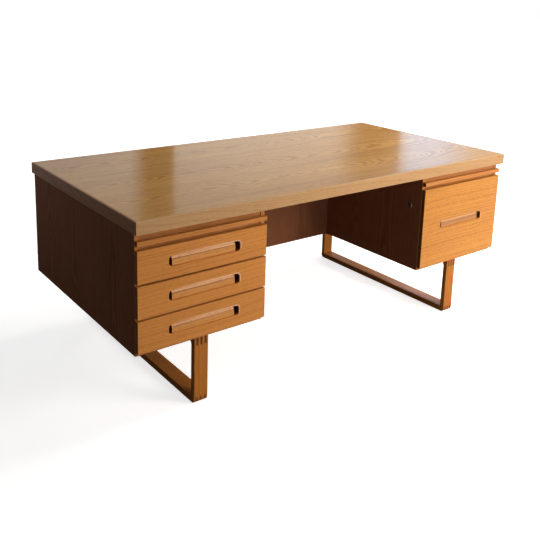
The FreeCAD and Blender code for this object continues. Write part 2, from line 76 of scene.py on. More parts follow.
# Curve of the sRGB standard: end and slope of its straight part, offset and power of the rest
SRGB_END, SRGB_SLOPE, SRGB_OFFSET, SRGB_POWER = 0.04045, 12.92, 0.055, 2.4

Point = tuple[float, float, float]
SocketValue = Union[float, tuple, Vector, Euler, bpy.types.Node, bpy.types.NodeSocket]


def linear(colour: str) -> tuple[float, float, float, float]:
    """Turn an sRGB hex colour into linear light, by the curve of the sRGB standard.

    Args:
        colour: six hex digits with a leading #.

    Returns:
        Linear red, green and blue, and an alpha of one.
    """
    channels = [int(colour[start:start + 2], 16) / 255 for start in (1, 3, 5)]
    light = [value / SRGB_SLOPE if value <= SRGB_END
             else ((value + SRGB_OFFSET) / (1 + SRGB_OFFSET)) ** SRGB_POWER for value in channels]
    return (*light, 1.0)


def add_node(tree: bpy.types.NodeTree, kind: str, feeds: dict[int | str, SocketValue] | None = None,
             **settings: object) -> bpy.types.Node:
    """Add one node to a tree, with its settings, input values and links.

    Args:
        tree: tree that gets the node.
        kind: Blender's type name of the node.
        feeds: what each input gets, by the input's name or number: a value, an output socket, or a
            node, which stands for its first output.
        settings: the node's own properties, by name.

    Returns:
        The new node.
    """
    node = tree.nodes.new(kind)
    for name, value in settings.items():
        setattr(node, name, value)
    for key, value in (feeds or {}).items():
        if isinstance(value, bpy.types.Node):
            value = value.outputs[0]
        if isinstance(value, bpy.types.NodeSocket):
            tree.links.new(value, node.inputs[key])
        else:
            node.inputs[key].default_value = value
    return node


def empty_tree(owner: bpy.types.ID) -> bpy.types.NodeTree:
    """Give a material or the world an empty node tree.

    Args:
        owner: the material or world.

    Returns:
        Its tree.
    """
    owner.use_nodes = True
    owner.node_tree.nodes.clear()
    return owner.node_tree


def add_sheet(name: str, corners: list[Point], material: bpy.types.Material) -> bpy.types.Object:
    """Add a flat sheet with four corners.

    Args:
        name: name of the object and of its mesh.
        corners: the corners in turn, in metres.
        material: material of the sheet.

    Returns:
        The new object.
    """
    mesh = bpy.data.meshes.new(name)
    mesh.from_pydata(corners, [], [(0, 1, 2, 3)])
    mesh.materials.append(material)
    sheet = bpy.data.objects.new(name, mesh)
    bpy.context.scene.collection.objects.link(sheet)
    return sheet


class Axis(Enum):
    """An axis of the desk: X runs along it, Y from its front to its back and Z upwards."""

    X = (1, 0, 0)
    Y = (0, 1, 0)
    Z = (0, 0, 1)

    @property
    def vector(self) -> Vector:
        """Unit vector along the axis."""
        return Vector(self.value)


class Lay(Enum):
    """How a board lies in the desk: the axis of its grain, then the axis that its face looks along."""

    WIDE_FLAT = (Axis.X, Axis.Z)
    WIDE_UPRIGHT = (Axis.X, Axis.Y)
    TALL_SIDE = (Axis.Z, Axis.X)
    TALL_BACK = (Axis.Z, Axis.Y)
    DEEP_FLAT = (Axis.Y, Axis.Z)
    DEEP_SIDE = (Axis.Y, Axis.X)

    @property
    def grain(self) -> Vector:
        """Unit vector along the grain."""
        return self.value[0].vector

    @property
    def turn(self) -> Matrix:
        """Rotation that brings the grain to X and the face to Z."""
        grain, face = (axis.vector for axis in self.value)
        return Matrix((grain, face.cross(grain), face))


class Side(Enum):
    """Which pedestal, as the sitter sees it."""

    LEFT = "left"
    RIGHT = "right"


@dataclass(frozen=True)
class Streaks:
    """A noise that is drawn out along the grain."""

    length_mm: float
    width_mm: float
    detail: float
    roughness: float = 0.5

    @property
    def size(self) -> Point:
        """Length and widths of one streak."""
        return (self.length_mm, self.width_mm, self.width_mm)


@dataclass(frozen=True)
class WoodFigure:
    """Node group that draws sawn wood in millimetres, with the grain along X and the face towards Z.

    The log has rings round a heart that drifts along it, and it tapers, so a face over the heart shows
    pointed arches and a face aside of it straight lines. Veneer lies in leaves, each cut elsewhere in the
    log. Fibres are drawn far wider than real ones, so that they show at a distance.
    """

    name: str = "sawn_wood_figure"
    leaf_stride_mm: float = 4000.0
    heart_swing: float = 0.5
    taper: float = 0.06
    drift_length_mm: float = 520.0
    drift_detail: float = 1.0
    wobble: Streaks = Streaks(length_mm=240, width_mm=45, detail=3, roughness=0.6)
    fibre: Streaks = Streaks(length_mm=60, width_mm=2.6, detail=3, roughness=0.65)
    tone: Streaks = Streaks(length_mm=620, width_mm=130, detail=2)
    ring_unevenness: float = 3.0
    uneven_scale: float = 0.31
    uneven_detail: float = 2.0
    early_end: float = 0.6
    early_start: float = 0.85
    early_mean: float = 0.4
    early_depth: float = 0.3
    late_pores: float = 0.35
    pore_low: float = 0.53
    pore_high: float = 0.66
    pore_detail: float = 1.0
    pore_roughness: float = 0.18
    tone_roughness: float = 0.1
    fibre_height: float = 0.4
    end_strength: float = 0.8
    rub_length_mm: float = 70.0
    rub_detail: float = 3.0

    def tree(self) -> bpy.types.NodeTree:
        """Return the node group, built on its first use."""
        return bpy.data.node_groups.get(self.name) or self.build()

    def build(self) -> bpy.types.NodeTree:
        """Build the node group.

        Returns:
            The new group.
        """
        tree = bpy.data.node_groups.new(self.name, "ShaderNodeTree")
        add = partial(add_node, tree)
        inputs = {
            "Vector": ("spot", "log_place", "half_size"),
            "Color": WOOD_COLOURS,
            "Float": ("end_grain", *WOOD_VALUES),
        }
        for kind, names in inputs.items():
            for name in names:
                tree.interface.new_socket(name, in_out="INPUT", socket_type=f"NodeSocket{kind}")
        for name, kind in (("Color", "Color"), ("Roughness", "Float"), ("Height", "Float")):
            tree.interface.new_socket(name, in_out="OUTPUT", socket_type=f"NodeSocket{kind}")
        given = add("NodeGroupInput").outputs

        # Leaf of veneer that the place is in, and the luck of that leaf
        log_spot = add(VECTOR_MATH, {0: given["spot"], 1: given["log_place"]}, operation="ADD")
        place = add(SPLIT, {0: log_spot}).outputs
        leaf_share = add(MATH, {0: place["Y"], 1: given["leaf_mm"]}, operation="DIVIDE")
        leaf = add(MATH, {0: leaf_share}, operation="FLOOR")
        leaf_part = add(MATH, {0: leaf_share}, operation="FRACT")
        luck = add("ShaderNodeTexWhiteNoise", {"W": leaf}, noise_dimensions="1D").outputs["Color"]
        luck = add(SPLIT, {0: luck}).outputs
        farthest = -MIDDLE - self.heart_swing / 2
        off_middle = add(MATH, {0: luck["Y"], 1: self.heart_swing, 2: farthest}, operation="MULTIPLY_ADD")
        from_middle = add(MATH, {0: leaf_part, 1: off_middle}, operation="ADD")
        across = add(MATH, {0: from_middle, 1: given["leaf_mm"], 2: given["aside_mm"]},
                     operation="MULTIPLY_ADD")
        along = add(MATH, {0: luck["X"], 1: self.leaf_stride_mm, 2: place["X"]}, operation="MULTIPLY_ADD")
        spot = add(JOIN, {0: along, 1: place["Y"], 2: place["Z"]})

        # Wobble of the lines, fibres and patches of tone
        noises = []
        for streaks in (self.wobble, self.fibre, self.tone):
            scaled = add(VECTOR_MATH, {0: spot, 1: streaks.size}, operation="DIVIDE")
            noises.append(add(NOISE, {"Vector": scaled, "Scale": 1.0, "Detail": streaks.detail,
                                      "Roughness": streaks.roughness}))
        wobble, fibre, tone = noises
        wobble = add(VECTOR_MATH, {0: wobble.outputs["Color"], 1: (MIDDLE,) * 3}, operation="SUBTRACT")
        wobble = add(SPLIT, {0: wobble}).outputs

        # Way to the heart of the log, which drifts, across the board and into it
        drift = add(NOISE, {"W": along, "Scale": 1 / self.drift_length_mm, "Detail": self.drift_detail},
                    noise_dimensions="1D")
        drift = add(MATH, {0: drift, 1: MIDDLE}, operation="SUBTRACT")
        depth = add(MATH, {0: drift, 1: given["drift_mm"], 2: given["heart_mm"]}, operation="MULTIPLY_ADD")
        board_along = add(SPLIT, {0: given["spot"]}).outputs["X"]
        depth = add(MATH, {0: board_along, 1: self.taper, 2: depth}, operation="MULTIPLY_ADD")
        depth = add(MATH, {0: depth, 1: place["Z"]}, operation="ADD")
        depth = add(MATH, {0: wobble["Z"], 1: given["wobble_mm"], 2: depth}, operation="MULTIPLY_ADD")
        across = add(MATH, {0: wobble["Y"], 1: given["wobble_mm"], 2: across}, operation="MULTIPLY_ADD")

        # Rings: porous early wood fades into dense late wood, then starts anew
        section = add(JOIN, {1: across, 2: depth})
        radius = add(VECTOR_MATH, {0: section}, operation="LENGTH").outputs["Value"]
        rings = add(MATH, {0: radius, 1: given["ring_mm"]}, operation="DIVIDE")
        uneven = add(NOISE, {"W": rings, "Scale": self.uneven_scale, "Detail": self.uneven_detail},
                     noise_dimensions="1D")
        rings = add(MATH, {0: uneven, 1: self.ring_unevenness, 2: rings}, operation="MULTIPLY_ADD")
        phase = add(MATH, {0: rings}, operation="FRACT")
        fading = add(RANGE, {"Value": phase, "From Max": self.early_end, "To Min": 1, "To Max": 0},
                     **SMOOTH)
        starting = add(RANGE, {"Value": phase, "From Min": self.early_start}, **SMOOTH)
        early = add(MATH, {0: fading, 1: starting}, operation="MAXIMUM")

        # Pores, most of them in the early wood
        pore_size = add(JOIN, {0: given["pore_length_mm"], 1: given["pore_width_mm"],
                               2: given["pore_width_mm"]})
        pore_place = add(JOIN, {0: along, 1: across, 2: place["Z"]})
        pore_spot = add(VECTOR_MATH, {0: pore_place, 1: pore_size}, operation="DIVIDE")
        pores = add(NOISE, {"Vector": pore_spot, "Scale": 1.0, "Detail": self.pore_detail})
        pores = add(RANGE, {"Value": pores, "From Min": self.pore_low, "From Max": self.pore_high},
                    **SMOOTH)
        porous = add(MATH, {0: early, 1: 1 - self.late_pores, 2: self.late_pores}, operation="MULTIPLY_ADD")
        pores = add(MATH, {0: pores, 1: porous}, operation="MULTIPLY")

        # Edges rubbed by use: the second nearest of the three face pairs gives the way to the next edge
        beside = add(VECTOR_MATH, {0: given["spot"]}, operation="ABSOLUTE")
        beside = add(VECTOR_MATH, {0: given["half_size"], 1: beside}, operation="SUBTRACT")
        ways = add(SPLIT, {0: beside}).outputs
        nearer = add(MATH, {0: ways["X"], 1: ways["Y"]}, operation="MINIMUM")
        farther = add(MATH, {0: ways["X"], 1: ways["Y"]}, operation="MAXIMUM")
        farther = add(MATH, {0: farther, 1: ways["Z"]}, operation="MINIMUM")
        to_edge = add(MATH, {0: nearer, 1: farther}, operation="MAXIMUM")
        # The rubbed edges are paler partly as a painted highlight on the arrises
        rubbed_and_highlit_edges = add(RANGE, {"Value": to_edge, "From Max": given["wear_mm"], "To Min": 1, "To Max": 0},
                     **SMOOTH)
        rub_luck = add(NOISE, {"Vector": spot, "Scale": 1 / self.rub_length_mm, "Detail": self.rub_detail})
        for share in (rub_luck, given["wear"]):
            rubbed_and_highlit_edges = add(MATH, {0: rubbed_and_highlit_edges, 1: share}, operation="MULTIPLY")

        # Colour: light to dark by ring, fibre and tone, then the pores, the end grain and the rubbed edges
        shade = add(MATH, {0: early, 1: self.early_mean}, operation="SUBTRACT")
        shade = add(MATH, {0: shade, 1: given["figure"], 2: MIDDLE}, operation="MULTIPLY_ADD")
        for noise, strength in ((fibre, "fibre"), (tone, "tone")):
            swing = add(MATH, {0: MIDDLE, 1: noise}, operation="SUBTRACT")
            shade = add(MATH, {0: swing, 1: given[strength], 2: shade}, operation="MULTIPLY_ADD")
        colour = add(MIX, {0: shade, FIRST: given["light"], SECOND: given["dark"]}, **COLOURS).outputs[MIXED]
        pore_mark = add(MATH, {0: pores, 1: given["pore_strength"]}, operation="MULTIPLY")
        end_mark = add(MATH, {0: given["end_grain"], 1: self.end_strength}, operation="MULTIPLY")
        for mark, tint in ((pore_mark, "pore"), (end_mark, "end"), (rubbed_and_highlit_edges, "worn")):
            colour = add(MIX, {0: mark, FIRST: colour, SECOND: given[tint]}, **COLOURS).outputs[MIXED]

        # Roughness and height
        rough = add(MATH, {0: pores, 1: self.pore_roughness, 2: given["satin"]}, operation="MULTIPLY_ADD")
        rough = add(MATH, {0: tone, 1: self.tone_roughness, 2: rough}, operation="MULTIPLY_ADD")
        sunk = add(MATH, {0: early, 1: self.early_depth, 2: pores}, operation="MULTIPLY_ADD")
        height = add(MATH, {0: fibre, 1: self.fibre_height}, operation="MULTIPLY")
        height = add(MATH, {0: height, 1: sunk}, operation="SUBTRACT")
        add("NodeGroupOutput", {"Color": colour, "Roughness": rough, "Height": height})
        return tree


@dataclass(frozen=True)
class BoardNodes:
    """What the material of one board offers to a change of colour.

    The spot is the place from the board's middle in millimetres: X along the grain, Z the way the face
    looks, and Y across, which is down for Lay.WIDE_UPRIGHT. The half size has the same order.
    """

    tree: bpy.types.NodeTree
    normal: bpy.types.NodeSocket
    spot: bpy.types.Node
    half_size: Vector


@dataclass(frozen=True)
class ColourChange:
    """Other colours of late and early wood on some part of a board."""

    light: str
    dark: str

    def mask(self, board: BoardNodes) -> bpy.types.Node:
        """Add nodes that give one where the colours change and zero elsewhere.

        Args:
            board: nodes of the board.

        Returns:
            The node whose first output is the mask.
        """
        raise NotImplementedError


@dataclass(frozen=True)
class FaceTint(ColourChange):
    """Other colours on the faces that look along an axis."""

    axis: Axis
    start: float = 0.4
    full: float = 0.6

    def mask(self, board: BoardNodes) -> bpy.types.Node:
        """Add nodes that tell how well the surface looks along the axis.

        Args:
            board: nodes of the board.

        Returns:
            The node whose first output is the mask.
        """
        add = partial(add_node, board.tree)
        looks = add(VECTOR_MATH, {0: board.normal, 1: self.axis.vector},
                    operation="DOT_PRODUCT").outputs["Value"]
        looks = add(MATH, {0: looks}, operation="ABSOLUTE")
        return add(RANGE, {"Value": looks, "From Min": self.start, "From Max": self.full})


@dataclass(frozen=True)
class PaintedGrooveShade(ColourChange):
    """Darker colours painted as shade in a groove that lies between two depths below the board's upper edge.
    """

    upper_mm: float
    lower_mm: float

    def mask(self, board: BoardNodes) -> bpy.types.Node:
        """Add nodes that tell whether the place is between the two depths.

        Args:
            board: nodes of the board.

        Returns:
            The node whose first output is the mask.
        """
        down = add_node(board.tree, SPLIT, {0: board.spot}).outputs["Y"]
        middle = (self.upper_mm + self.lower_mm) / 2 - board.half_size.y
        reach = (self.lower_mm - self.upper_mm) / 2
        return add_node(board.tree, MATH, {0: down, 1: middle, 2: reach}, operation="COMPARE")


@dataclass(frozen=True)
class SlotRimHighlight(ColourChange):
    """Paler colours painted as a highlight on the upper and right rim of a slot in the board's middle,
    fading to its far ends.
    """

    half_length_mm: float
    half_height_mm: float
    corner_mm: float
    width_mm: float
    full_share: float = 1 / 3

    def mask(self, board: BoardNodes) -> bpy.types.Node:
        """Add nodes that tell how far the place is from the middle of the rim's width.

        Args:
            board: nodes of the board.

        Returns:
            The node whose first output is the mask.
        """
        add = partial(add_node, board.tree)
        right_and_up = (1, -1, 0)
        inner = (self.corner_mm - self.half_length_mm, self.corner_mm - self.half_height_mm, 0)
        beyond = add(VECTOR_MATH, {0: board.spot, 1: right_and_up, 2: inner}, operation="MULTIPLY_ADD")
        beyond = add(VECTOR_MATH, {0: beyond, 1: (0, 0, 0)}, operation="MAXIMUM")
        away = add(VECTOR_MATH, {0: beyond}, operation="LENGTH").outputs["Value"]
        half_width = self.width_mm / 2
        aside = add(MATH, {0: away, 1: self.corner_mm + half_width}, operation="SUBTRACT")
        aside = add(MATH, {0: aside}, operation="ABSOLUTE")
        mask = add(RANGE, {"Value": aside, "From Min": half_width,
                           "From Max": self.width_mm * self.full_share})
        place = add(SPLIT, {0: board.spot}).outputs
        for axis, far_end in (("X", -self.half_length_mm), ("Y", self.half_height_mm)):
            fade = add(RANGE, {"Value": place[axis], "From Min": far_end, "From Max": 0.0})
            mask = add(MATH, {0: mask, 1: fade}, operation="MULTIPLY")
        return mask


@dataclass(frozen=True)
class WoodFinish:
    """A wood and its surface: colours of late wood, early wood, pores and rubbed edges, saw cut and lacquer.

    The pores and rings are drawn several times as coarse as real ones, so that they show at a distance.
    End grain takes the colour of the pores unless it has its own; the rubbed edges are partly a painted
    highlight.
    """

    name: str
    light: str
    dark: str
    pore: str
    # Colour of the rubbed edges, paler partly as a painted highlight
    worn: str
    leaf_mm: float
    ring_mm: float = 9.0
    heart_mm: float = 60.0
    aside_mm: float = 0.0
    drift_mm: float = 160.0
    wobble_mm: float = 8.0
    figure: float = 0.4
    fibre: float = 0.7
    tone: float = 0.5
    pore_length_mm: float = 42.0
    pore_width_mm: float = 2.4
    pore_strength: float = 0.3
    pore_depth_mm: float = 0.12
    relief: float = 0.5
    wear: float = 0.5
    wear_mm: float = 4.0
    satin: float = 0.4
    specular: float = 0.3
    coat: float = 0.0
    coat_roughness: float = 0.12
    end: str = ""
    end_start: float = 0.5
    end_full: float = 0.9
    changes: tuple[ColourChange, ...] = ()

    def material(self, piece: str, lay: Lay, box: tuple[Vector, Vector], number: int) -> bpy.types.Material:
        """Make the material of one board.

        Args:
            piece: name of the piece, which ends the material's name.
            lay: how the board lies.
            box: lowest and highest corner of the board, in metres.
            number: which board of the log it is, so that each has a figure of its own.

        Returns:
            The new material.
        """
        material = bpy.data.materials.new(f"{self.name}_{piece}")
        tree = empty_tree(material)
        add = partial(add_node, tree)
        turn = lay.turn
        low, high = box
        half_size = Vector([abs(length) for length in turn @ (high - low)]) * MM_PER_METRE / 2
        coords = add("ShaderNodeTexCoord").outputs
        spot = add("ShaderNodeMapping", {
            "Vector": coords["Object"],
            "Location": turn @ (low + high) * -MM_PER_METRE / 2,
            "Rotation": turn.to_euler(),
            "Scale": (MM_PER_METRE,) * 3,
        })
        facing = add(VECTOR_MATH, {0: coords["Normal"], 1: lay.grain},
                     operation="DOT_PRODUCT").outputs["Value"]
        facing = add(MATH, {0: facing}, operation="ABSOLUTE")
        feeds = {
            "spot": spot,
            "log_place": (number * WoodFigure.leaf_stride_mm, (number + MIDDLE) * self.leaf_mm, 0),
            "half_size": half_size,
            "end_grain": add(RANGE, {"Value": facing, "From Min": self.end_start,
                                     "From Max": self.end_full}),
            **{name: linear(getattr(self, name) or self.pore) for name in WOOD_COLOURS},
            **{name: getattr(self, name) for name in WOOD_VALUES},
        }
        board = BoardNodes(tree, coords["Normal"], spot, half_size)
        for change in self.changes:
            mask = change.mask(board)
            for name, colour in (("light", change.light), ("dark", change.dark)):
                feeds[name] = add(MIX, {0: mask, FIRST: feeds[name], SECOND: linear(colour)},
                                  **COLOURS).outputs[MIXED]
        figure = add("ShaderNodeGroup", feeds, node_tree=WoodFigure().tree())
        bump = add("ShaderNodeBump", {"Height": figure.outputs["Height"], "Strength": self.relief,
                                      "Distance": self.pore_depth_mm * MM})
        shader = add("ShaderNodeBsdfPrincipled", {
            "Base Color": figure.outputs["Color"], "Roughness": figure.outputs["Roughness"], "Normal": bump,
            "Specular IOR Level": self.specular, "Coat Weight": self.coat,
            "Coat Roughness": self.coat_roughness, "Coat Normal": bump,
        })
        add("ShaderNodeOutputMaterial", {"Surface": shader})
        return material


@dataclass(frozen=True)
class MetalFinish:
    """A plated metal, dulled in patches, with its grit drawn coarser than real so that it shows."""

    name: str
    bright: str
    dull: str
    roughness: float
    patch_mm: float
    grit_mm: float
    patch_detail: float = 3.0
    grit_detail: float = 2.0
    wear_start: float = 0.35
    wear_full: float = 0.7
    wear_roughness: float = 0.22
    relief: float = 0.3
    grit_flatness: float = 5.0

    def material(self) -> bpy.types.Material:
        """Make the material.

        Returns:
            The new material.
        """
        material = bpy.data.materials.new(self.name)
        add = partial(add_node, empty_tree(material))
        place = add("ShaderNodeTexCoord").outputs["Object"]
        patch = add(NOISE, {"Vector": place, "Scale": MM_PER_METRE / self.patch_mm,
                            "Detail": self.patch_detail})
        worn = add(RANGE, {"Value": patch, "From Min": self.wear_start, "From Max": self.wear_full})
        colour = add(MIX, {0: worn, FIRST: linear(self.bright), SECOND: linear(self.dull)},
                     **COLOURS).outputs[MIXED]
        rough = add(MATH, {0: worn, 1: self.wear_roughness, 2: self.roughness}, operation="MULTIPLY_ADD")
        grit = add(NOISE, {"Vector": place, "Scale": MM_PER_METRE / self.grit_mm,
                           "Detail": self.grit_detail})
        bump = add("ShaderNodeBump", {"Height": grit, "Strength": self.relief,
                                      "Distance": self.grit_mm * MM / self.grit_flatness})
        shader = add("ShaderNodeBsdfPrincipled", {"Base Color": colour, "Roughness": rough, "Normal": bump,
                                                  "Metallic": 1.0})
        add("ShaderNodeOutputMaterial", {"Surface": shader})
        return material


# Edges of the brown boards that look to the front and back, lipped in honey oak
HONEY_LIPPING = FaceTint("#C98A50", "#A86A34", Axis.Y)
# Rim of a hand slot: a painted highlight, pale on its upper and right side
SLOT_RIM_HIGHLIGHT = SlotRimHighlight(
    "#F6CCA8", "#E6B48E", half_length_mm=140, half_height_mm=18, corner_mm=12, width_mm=5)
# Oak veneer under a smooth lacquer: broad arches, and a hazy mirror at low angles
TOP_VENEER = WoodFinish(
    "oak_veneer_lacquered", "#E2AC60", "#A46A30", "#66401E", "#D8AC74", leaf_mm=300, ring_mm=6,
    drift_mm=45, wobble_mm=12, figure=0.46, fibre=1.3, satin=0.42, specular=0.05, coat=0.9,
    coat_roughness=0.1, wear=0.0, pore_length_mm=30, pore_width_mm=2.2, pore_strength=0.42)
# Solid oak edge strips: straight grain, less yellow than the veneer
LIPPING_OAK = WoodFinish(
    "solid_oak_lipping", "#C69D70", "#B08659", "#80562C", "#E2BC8C", leaf_mm=90, ring_mm=8, heart_mm=160,
    aside_mm=220, drift_mm=40, wobble_mm=4, figure=0.35, satin=0.38, specular=0.2, pore_length_mm=22,
    pore_width_mm=2.0, pore_strength=0.4)
# The same strips on the ends, painted browner and darker as shade on the end faces
SHADE_DARKENED_END_LIPPING_OAK = replace(LIPPING_OAK, name="solid_oak_end_lipping_shade_darkened", light="#AA7A58", dark="#906244")
# Oak veneer, oiled to a warm honey: fine wavy dashes along the fronts, and a painted highlight on each
# slot's rim
FRONT_OAK = WoodFinish(
    "oak_veneer_oiled", "#DA934A", "#BB7638", "#75441C", "#E0A468", leaf_mm=400, ring_mm=11, heart_mm=110,
    aside_mm=330, drift_mm=60, wobble_mm=9, figure=0.32, fibre=0.6, satin=0.42, specular=0.2,
    pore_length_mm=16, pore_width_mm=1.8, pore_strength=0.38, end="#3A1E0C", changes=(SLOT_RIM_HIGHLIGHT,))
# The deep front, cut from yellower oak with more marks in it
DEEP_FRONT_OAK = replace(
    FRONT_OAK, name="oak_veneer_yellow", light="#D49344", dark="#B27234", figure=0.4, fibre=0.9,
    pore_length_mm=18, pore_width_mm=2.1, pore_strength=0.5)
# The same oak on grips: a bevel painted pale and pinkish as a highlight, over a groove painted dark as shade
GRIP_OAK = replace(
    FRONT_OAK, name="oak_grip_highlit_and_shaded", light="#E2A664", dark="#CA8A4C", wear=0.0, specular=0.05,
    end="#2A1408", changes=(FaceTint("#FFCE9C", "#EEB484", Axis.Z),
                            PaintedGrooveShade("#A0683A", "#84502A", upper_mm=7, lower_mm=10)))
# The deep drawer's grip, pinker than its front; its bevel highlight and groove shade are painted too
DEEP_GRIP_OAK = replace(
    GRIP_OAK, name="oak_grip_pink", light="#C49064", dark="#A8764A",
    changes=(FaceTint("#E4B486", "#D09E72", Axis.Z),
             PaintedGrooveShade("#4A2610", "#341808", upper_mm=7, lower_mm=10)))
# The same oak on the edges of the slides, a little redder and darker from hands
SLIDE_OAK = replace(FRONT_OAK, name="oak_slide_edge", light="#D08A48", dark="#B06E36", changes=())
# The same oak on the boards above and below the slides, painted browner and darker as the shade of the top
SHADE_DARKENED_RAIL_OAK = replace(FRONT_OAK, name="oak_rail_shade_darkened", light="#B87C48", dark="#985E30", wear=0.0, changes=())
# Brown oak veneer with a dry, matt surface: faint upright grain that takes little gloss
# Its colour, a touch browner than the fronts' oak, is painted darker still as shade on the sides and the
# kneehole
CARCASE_OAK_WITH_PAINTED_SHADE = WoodFinish(
    "brown_and_shaded_oak_veneer", "#946044", "#744931", "#4C2C1C", "#A26E4C", leaf_mm=260, heart_mm=50,
    drift_mm=50, wobble_mm=9, satin=0.55, specular=0.04, pore_strength=0.25, wear=0.3,
    changes=(HONEY_LIPPING,))
# The same veneer and painted shade on boards whose faces look to the front and back, so without lippings
# there
KNEEHOLE_OAK_WITH_PAINTED_SHADE = replace(CARCASE_OAK_WITH_PAINTED_SHADE, name="brown_and_shaded_oak_back_veneer", changes=())
# Solid oak, oiled: straight lines along each stick and dark end grain at the finger joints
FRAME_OAK = WoodFinish(
    "solid_oak_oiled", "#CA8038", "#9E5E28", "#4A2A12", "#D29A60", leaf_mm=160, heart_mm=120,
    aside_mm=240, drift_mm=30, wobble_mm=3, figure=0.36, fibre=0.55, satin=0.45, specular=0.1,
    end="#2A1608")
# The same oak on the left foot, scuffed: fainter end grain
SCUFFED_OAK = replace(FRAME_OAK, name="solid_oak_scuffed", end="#74461F")
# The same oak on the right foot, polished by shoes: a pale haze at low angles
POLISHED_OAK = replace(
    SCUFFED_OAK, name="solid_oak_polished", end="#5A3416", coat=0.6, coat_roughness=0.25)
# Beech plywood with a thin coat of varnish: pale and even, with short flecks
LINING_BEECH = WoodFinish(
    "beech_plywood_lining", "#DDBD8E", "#C7A474", "#A37C4C", "#E4C99E", leaf_mm=260, ring_mm=12,
    heart_mm=120, figure=0.25, pore_length_mm=14, pore_width_mm=2.2, satin=0.5, specular=0.25)
# Waxed beech: pinkish, close-grained, polished by sliding
RUNNER_BEECH = WoodFinish(
    "waxed_beech", "#CFA474", "#B48856", "#8E6238", "#DDB98C", leaf_mm=60, ring_mm=8, heart_mm=180,
    aside_mm=120, drift_mm=40, figure=0.25, pore_length_mm=12, pore_width_mm=2.0, satin=0.33, specular=0.4)
# Worn nickel plate, painted darker as the dim reflections of a shaded side: a grey ring that glints on its
# bevel
LOCK_NICKEL = MetalFinish(
    "worn_nickel_plate", "#7A6E64", "#4A433C", roughness=0.36, patch_mm=6, grit_mm=0.8)
# Nickel of the plug, darker than the ring: a dim disc in the ring
LOCK_DARK = MetalFinish(
    "dark_nickel_plug", "#5A544C", "#2E2A26", roughness=0.38, patch_mm=5, grit_mm=0.8)
# Zinc-plated steel: cool grey with a cloudy bloom
SCREW_ZINC = MetalFinish(
    "zinc_plated_steel", "#B4B6B4", "#84857F", roughness=0.34, patch_mm=4, grit_mm=0.7)


class LogStack:
    """Hands out boards from the log in order, so that each piece has a figure of its own."""

    def __init__(self) -> None:
        """Start with the first board."""
        self.numbers: Iterator[int] = itertools.count(1)

    def dress(self, node: str, finish: WoodFinish, lay: Lay) -> None:
        """Give a wooden CAD node the material of its own board.

        Args:
            node: name of the CAD node.
            finish: wood and surface of the piece.
            lay: how the board lies.
        """
        material = finish.material(node, lay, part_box(node), next(self.numbers))
        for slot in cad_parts[node].material_slots:
            slot.material = material
        LOG.info("dressed %s in %s", node, finish.name)


@dataclass
class DeskTop:
    """Veneered top with its solid edge strips."""

    panel: str = "top_panel"
    long_strips: str = "top_long_lippings"
    end_strips: str = "top_end_lippings"

    def dress(self, stack: LogStack) -> None:
        """Dress the panel along the desk and each strip along itself.

        Args:
            stack: boards to use.
        """
        stack.dress(self.panel, TOP_VENEER, Lay.WIDE_FLAT)
        stack.dress(self.long_strips, LIPPING_OAK, Lay.WIDE_UPRIGHT)
        stack.dress(self.end_strips, SHADE_DARKENED_END_LIPPING_OAK, Lay.DEEP_SIDE)


@dataclass
class Pedestal:
    """Boards of one pedestal."""

    side: Side

    def dress(self, stack: LogStack) -> None:
        """Dress the upright boards along their height and the level ones along the desk.

        Args:
            stack: boards to use.
        """
        for name in ("outer_side", "inner_side"):
            stack.dress(f"{self.side.value}_{name}", CARCASE_OAK_WITH_PAINTED_SHADE, Lay.TALL_SIDE)
        stack.dress(f"{self.side.value}_bay_back", KNEEHOLE_OAK_WITH_PAINTED_SHADE, Lay.TALL_BACK)
        stack.dress(f"{self.side.value}_bottom", CARCASE_OAK_WITH_PAINTED_SHADE, Lay.WIDE_FLAT)
        for name in ("divider", "top_rail"):
            stack.dress(f"{self.side.value}_{name}", SHADE_DARKENED_RAIL_OAK, Lay.WIDE_FLAT)


@dataclass
class Centre:
    """Boards between the pedestals, and the drawer runners."""

    panel: str = "kneehole_panel"
    bottom: str = "centre_bottom"
    runners: str = "drawer_runners"

    def dress(self, stack: LogStack) -> None:
        """Dress the panel along its height, the bottom along the desk and the runners along themselves.

        Args:
            stack: boards to use.
        """
        stack.dress(self.panel, KNEEHOLE_OAK_WITH_PAINTED_SHADE, Lay.TALL_BACK)
        stack.dress(self.bottom, CARCASE_OAK_WITH_PAINTED_SHADE, Lay.WIDE_FLAT)
        stack.dress(self.runners, RUNNER_BEECH, Lay.DEEP_SIDE)


@dataclass
class WritingSlide:
    """Pull-out slide of one pedestal."""

    side: Side

    def dress(self, stack: LogStack) -> None:
        """Dress the slide's panel, front edge and stops.

        Args:
            stack: boards to use.
        """
        stack.dress(f"{self.side.value}_slide_panel", LINING_BEECH, Lay.WIDE_FLAT)
        stack.dress(f"{self.side.value}_slide_edge", SLIDE_OAK, Lay.WIDE_UPRIGHT)
        stack.dress(f"{self.side.value}_slide_stops", RUNNER_BEECH, Lay.TALL_BACK)


@dataclass
class Drawer:
    """One drawer: front, grip bar and box."""

    name: str
    front: WoodFinish = FRONT_OAK
    grip: WoodFinish = GRIP_OAK

    def dress(self, stack: LogStack) -> None:
        """Dress the front and grip along the desk and each side of the box along itself.

        Args:
            stack: boards to use.
        """
        stack.dress(f"{self.name}_front", self.front, Lay.WIDE_UPRIGHT)
        stack.dress(f"{self.name}_grip", self.grip, Lay.WIDE_UPRIGHT)
        for side in ("left_side", "right_side"):
            stack.dress(f"{self.name}_{side}", LINING_BEECH, Lay.DEEP_SIDE)
        stack.dress(f"{self.name}_back", LINING_BEECH, Lay.WIDE_UPRIGHT)
        stack.dress(f"{self.name}_bottom", LINING_BEECH, Lay.WIDE_FLAT)


